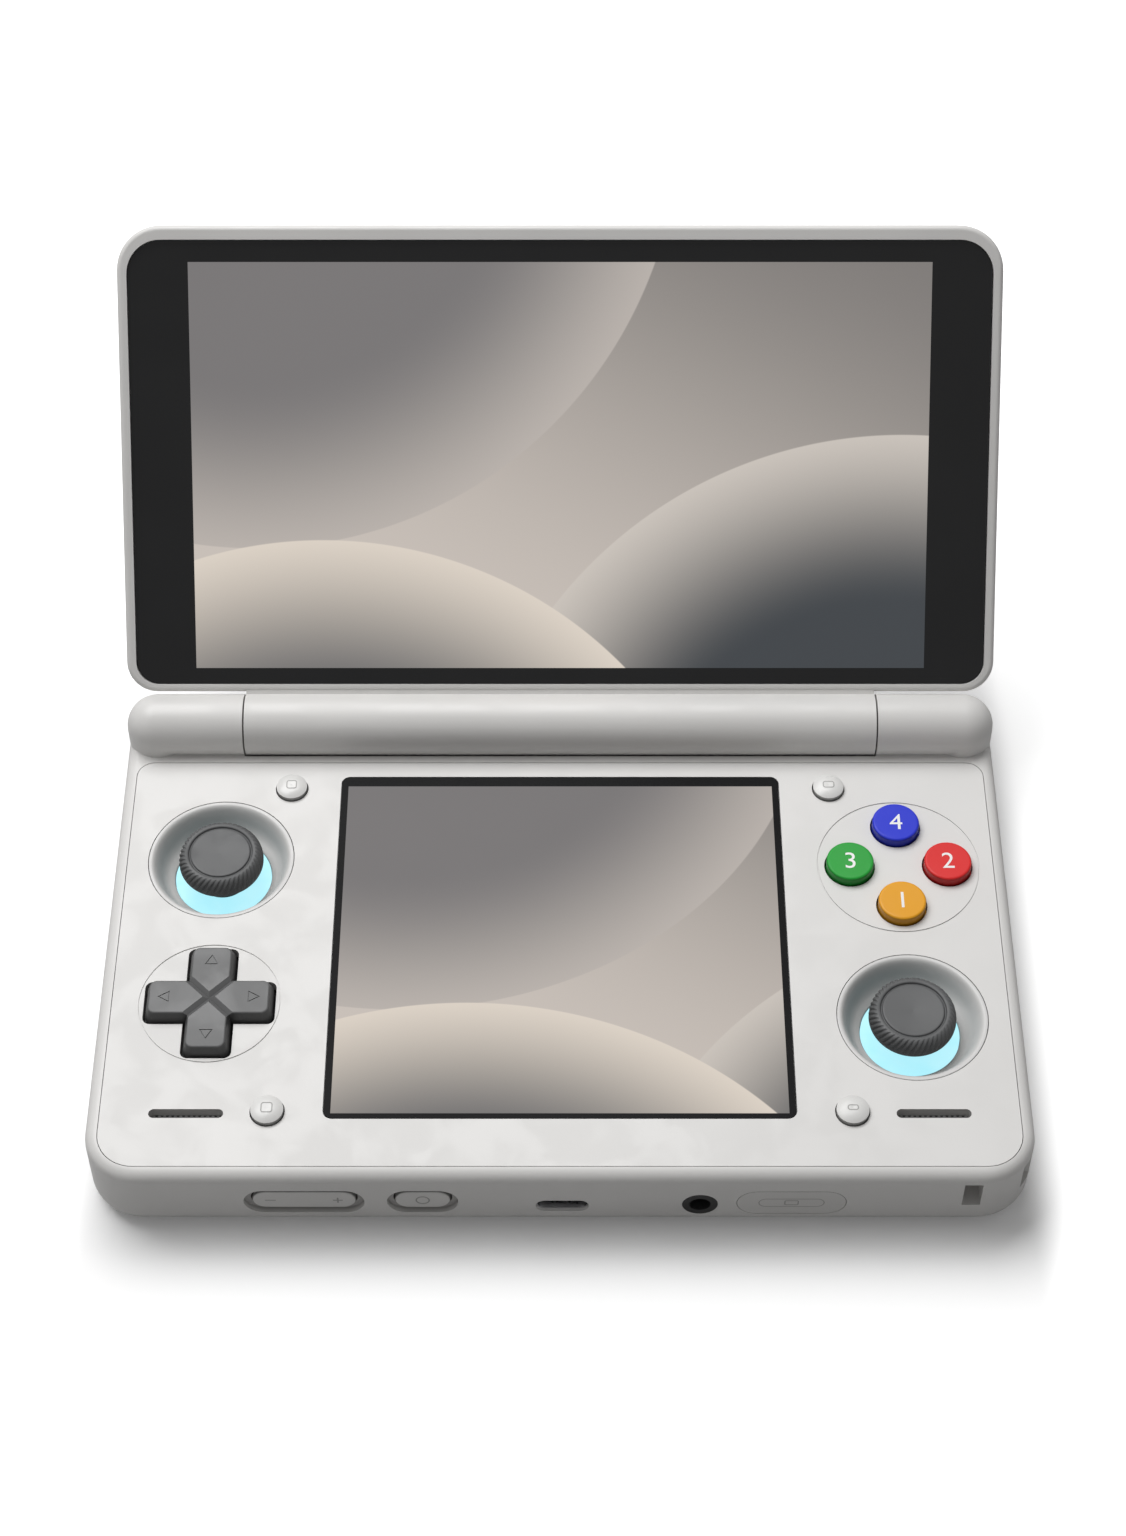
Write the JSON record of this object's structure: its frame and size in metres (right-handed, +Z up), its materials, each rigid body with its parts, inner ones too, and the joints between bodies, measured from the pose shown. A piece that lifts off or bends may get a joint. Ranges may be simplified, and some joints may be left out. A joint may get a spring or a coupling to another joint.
{
  "type": "handheld game console",
  "caption": "Clamshell handheld game console with two screens, sticks, a cross, round buttons, shoulder keys and front ports, shown open.",
  "frame": {"origin": "centre of the bounding box seen from above, on the surface that the feet stand on, with the lid open as in use", "axes": "+X to the player's right, +Y from the player towards the hinge, +Z up"},
  "size_m": [0.1582, 0.1578, 0.086],
  "materials": {
    "body_plastic": "satin warm light grey moulded plastic",
    "well_plastic": "satin warm grey plastic of the stick bowls",
    "door_plastic": "satin warm grey flexible flap",
    "shoulder_plastic": "satin grey plastic",
    "small_button_plastic": "pale grey semi-gloss plastic",
    "rubber_grey": "matte grey rubber",
    "stick_rubber": "matte dark grey rubber with a knurled rim",
    "control_grey": "matte dark grey plastic",
    "membrane_rubber": "soft translucent grey rubber",
    "black_glass": "black-bordered cover glass",
    "display_black": "dark display panel",
    "light_cyan": "glowing cyan light guide",
    "button_blue": "blue plastic with a pale numeral",
    "button_green": "green plastic with a pale numeral",
    "button_red": "red plastic with a pale numeral",
    "button_amber": "amber plastic with a pale numeral",
    "battery_wrap": "black wrapped pouch",
    "board_green": "green solder mask",
    "chip_black": "black moulded chips",
    "spreader_metal": "rolled aluminium sheet",
    "port_steel": "pressed steel",
    "port_black": "black moulded plastic",
    "switch_metal": "small pressed metal parts",
    "mesh_grey": "grey speaker mesh",
    "hinge_steel": "ground steel",
    "screw_steel": "dark plated steel",
    "flex_amber": "amber polyimide strip"
  },
  "bodies": {
    "base": {"base_shell": "body_plastic", "bottom_cover": "body_plastic", "cover_feet": "rubber_grey", "cover_screws": "screw_steel", "deck_plate": "body_plastic", "lower_glass": "black_glass", "lower_display": "display_black", "battery": "battery_wrap", "main_board": "board_green", "board_chips": "chip_black", "heat_spreader": "spreader_metal", "usb_port": "port_steel", "headphone_jack": "port_black", "card_reader": "port_steel", "tact_switches": "switch_metal", "left_speaker": "port_black", "right_speaker": "port_black", "speaker_meshes": "mesh_grey", "dpad_base": "switch_metal", "dpad_membrane": "membrane_rubber", "face_membrane": "membrane_rubber", "hinge_cartridges": "hinge_steel", "left_stick_bezel": "well_plastic", "left_stick_light_ring": "light_cyan", "left_stick_module": "port_steel", "right_stick_bezel": "well_plastic", "right_stick_light_ring": "light_cyan", "right_stick_module": "port_steel"},
    "lid": {"lid_shell": "body_plastic", "upper_glass": "black_glass", "upper_display": "display_black", "lid_board": "board_green", "hinge_pins": "hinge_steel", "hinge_flex": "flex_amber"},
    "left_stick_yoke": {"left_stick_yoke": "switch_metal"},
    "left_stick_pivot": {"left_stick_pivot": "switch_metal"},
    "left_stick_cap": {"left_stick_cap": "stick_rubber", "left_stick_post": "hinge_steel"},
    "right_stick_yoke": {"right_stick_yoke": "switch_metal"},
    "right_stick_pivot": {"right_stick_pivot": "switch_metal"},
    "right_stick_cap": {"right_stick_cap": "stick_rubber", "right_stick_post": "hinge_steel"},
    "dpad_spider": {"dpad_spider": "hinge_steel"},
    "dpad": {"dpad": "control_grey"},
    "face_button_top": {"face_button_top": "button_blue"},
    "face_button_left": {"face_button_left": "button_green"},
    "face_button_right": {"face_button_right": "button_red"},
    "face_button_bottom": {"face_button_bottom": "button_amber"},
    "small_button_rear_left": {"small_button_rear_left": "small_button_plastic"},
    "small_button_rear_right": {"small_button_rear_right": "small_button_plastic"},
    "small_button_front_left": {"small_button_front_left": "small_button_plastic"},
    "small_button_front_right": {"small_button_front_right": "small_button_plastic"},
    "volume_rocker": {"volume_rocker": "body_plastic"},
    "power_button": {"power_button": "body_plastic"},
    "card_door": {"card_door": "door_plastic"},
    "left_bumper": {"left_bumper": "shoulder_plastic"},
    "right_bumper": {"right_bumper": "shoulder_plastic"},
    "left_trigger": {"left_trigger": "shoulder_plastic"},
    "right_trigger": {"right_trigger": "shoulder_plastic"}
  },
  "joints": [
    {"name": "lid_hinge", "type": "hinge", "parent": "base", "child": "lid", "pos_m": [0, 0.01545, 0.01835], "axis": [1, 0, 0], "range_deg": [-24.3, 130.7]},
    {"name": "left_stick_tilt_x", "type": "hinge", "parent": "base", "child": "left_stick_yoke", "pos_m": [-0.0602, -0.01335, 0.0068], "axis": [1, 0, 0], "range_deg": [-11, 11], "stiffness_Nm_per_rad": 0.03},
    {"name": "left_stick_tilt_y", "type": "hinge", "parent": "left_stick_yoke", "child": "left_stick_pivot", "pos_m": [-0.0602, -0.01335, 0.0068], "axis": [0, 1, 0], "range_deg": [-11, 11], "stiffness_Nm_per_rad": 0.03},
    {"name": "left_stick_press", "type": "slide", "parent": "left_stick_pivot", "child": "left_stick_cap", "axis": [0, 0, -1], "range_m": [0, 0.0005], "stiffness_N_per_m": 400},
    {"name": "right_stick_tilt_x", "type": "hinge", "parent": "base", "child": "right_stick_yoke", "pos_m": [0.0602, -0.04705, 0.0068], "axis": [1, 0, 0], "range_deg": [-11, 11], "stiffness_Nm_per_rad": 0.03},
    {"name": "right_stick_tilt_y", "type": "hinge", "parent": "right_stick_yoke", "child": "right_stick_pivot", "pos_m": [0.0602, -0.04705, 0.0068], "axis": [0, 1, 0], "range_deg": [-11, 11], "stiffness_Nm_per_rad": 0.03},
    {"name": "right_stick_press", "type": "slide", "parent": "right_stick_pivot", "child": "right_stick_cap", "axis": [0, 0, -1], "range_m": [0, 0.0005], "stiffness_N_per_m": 400},
    {"name": "dpad_tilt_x", "type": "hinge", "parent": "base", "child": "dpad_spider", "pos_m": [-0.06, -0.04425, 0.0102], "axis": [1, 0, 0], "range_deg": [-4, 4], "stiffness_Nm_per_rad": 0.05},
    {"name": "dpad_tilt_y", "type": "hinge", "parent": "dpad_spider", "child": "dpad", "pos_m": [-0.06, -0.04425, 0.0102], "axis": [0, 1, 0], "range_deg": [-4, 4], "stiffness_Nm_per_rad": 0.05},
    {"name": "face_button_top_press", "type": "slide", "parent": "base", "child": "face_button_top", "axis": [0, 0, -1], "range_m": [0, 0.0012], "stiffness_N_per_m": 120},
    {"name": "face_button_left_press", "type": "slide", "parent": "base", "child": "face_button_left", "axis": [0, 0, -1], "range_m": [0, 0.0012], "stiffness_N_per_m": 120},
    {"name": "face_button_right_press", "type": "slide", "parent": "base", "child": "face_button_right", "axis": [0, 0, -1], "range_m": [0, 0.0012], "stiffness_N_per_m": 120},
    {"name": "face_button_bottom_press", "type": "slide", "parent": "base", "child": "face_button_bottom", "axis": [0, 0, -1], "range_m": [0, 0.0012], "stiffness_N_per_m": 120},
    {"name": "small_button_rear_left_press", "type": "slide", "parent": "base", "child": "small_button_rear_left", "axis": [0, 0, -1], "range_m": [0, 0.0005], "stiffness_N_per_m": 200},
    {"name": "small_button_rear_right_press", "type": "slide", "parent": "base", "child": "small_button_rear_right", "axis": [0, 0, -1], "range_m": [0, 0.0005], "stiffness_N_per_m": 200},
    {"name": "small_button_front_left_press", "type": "slide", "parent": "base", "child": "small_button_front_left", "axis": [0, 0, -1], "range_m": [0, 0.0005], "stiffness_N_per_m": 200},
    {"name": "small_button_front_right_press", "type": "slide", "parent": "base", "child": "small_button_front_right", "axis": [0, 0, -1], "range_m": [0, 0.0005], "stiffness_N_per_m": 200},
    {"name": "volume_rock", "type": "hinge", "parent": "base", "child": "volume_rocker", "pos_m": [-0.0425, -0.07575, 0.008], "axis": [0, 0, 1], "range_deg": [-2.5, 2.5], "stiffness_Nm_per_rad": 0.02},
    {"name": "power_press", "type": "slide", "parent": "base", "child": "power_button", "axis": [0, 1, 0], "range_m": [0, 0.0004], "stiffness_N_per_m": 200},
    {"name": "card_door_hinge", "type": "hinge", "parent": "base", "child": "card_door", "pos_m": [0.0385, -0.07895, 0.0043], "axis": [1, 0, 0], "range_deg": [0, 100]},
    {"name": "left_bumper_press", "type": "hinge", "parent": "base", "child": "left_bumper", "pos_m": [-0.0605, 0.01762, 0.0075], "axis": [0, 0, 1], "range_deg": [0, 6], "stiffness_Nm_per_rad": 0.02},
    {"name": "right_bumper_press", "type": "hinge", "parent": "base", "child": "right_bumper", "pos_m": [0.0605, 0.01762, 0.0075], "axis": [0, 0, -1], "range_deg": [0, 6], "stiffness_Nm_per_rad": 0.02},
    {"name": "left_trigger_press", "type": "hinge", "parent": "base", "child": "left_trigger", "pos_m": [-0.0435, 0.01762, 0.0075], "axis": [0, 0, 1], "range_deg": [0, 6], "stiffness_Nm_per_rad": 0.02},
    {"name": "right_trigger_press", "type": "hinge", "parent": "base", "child": "right_trigger", "pos_m": [0.0435, 0.01762, 0.0075], "axis": [0, 0, -1], "range_deg": [0, 6], "stiffness_Nm_per_rad": 0.02}
  ]
}
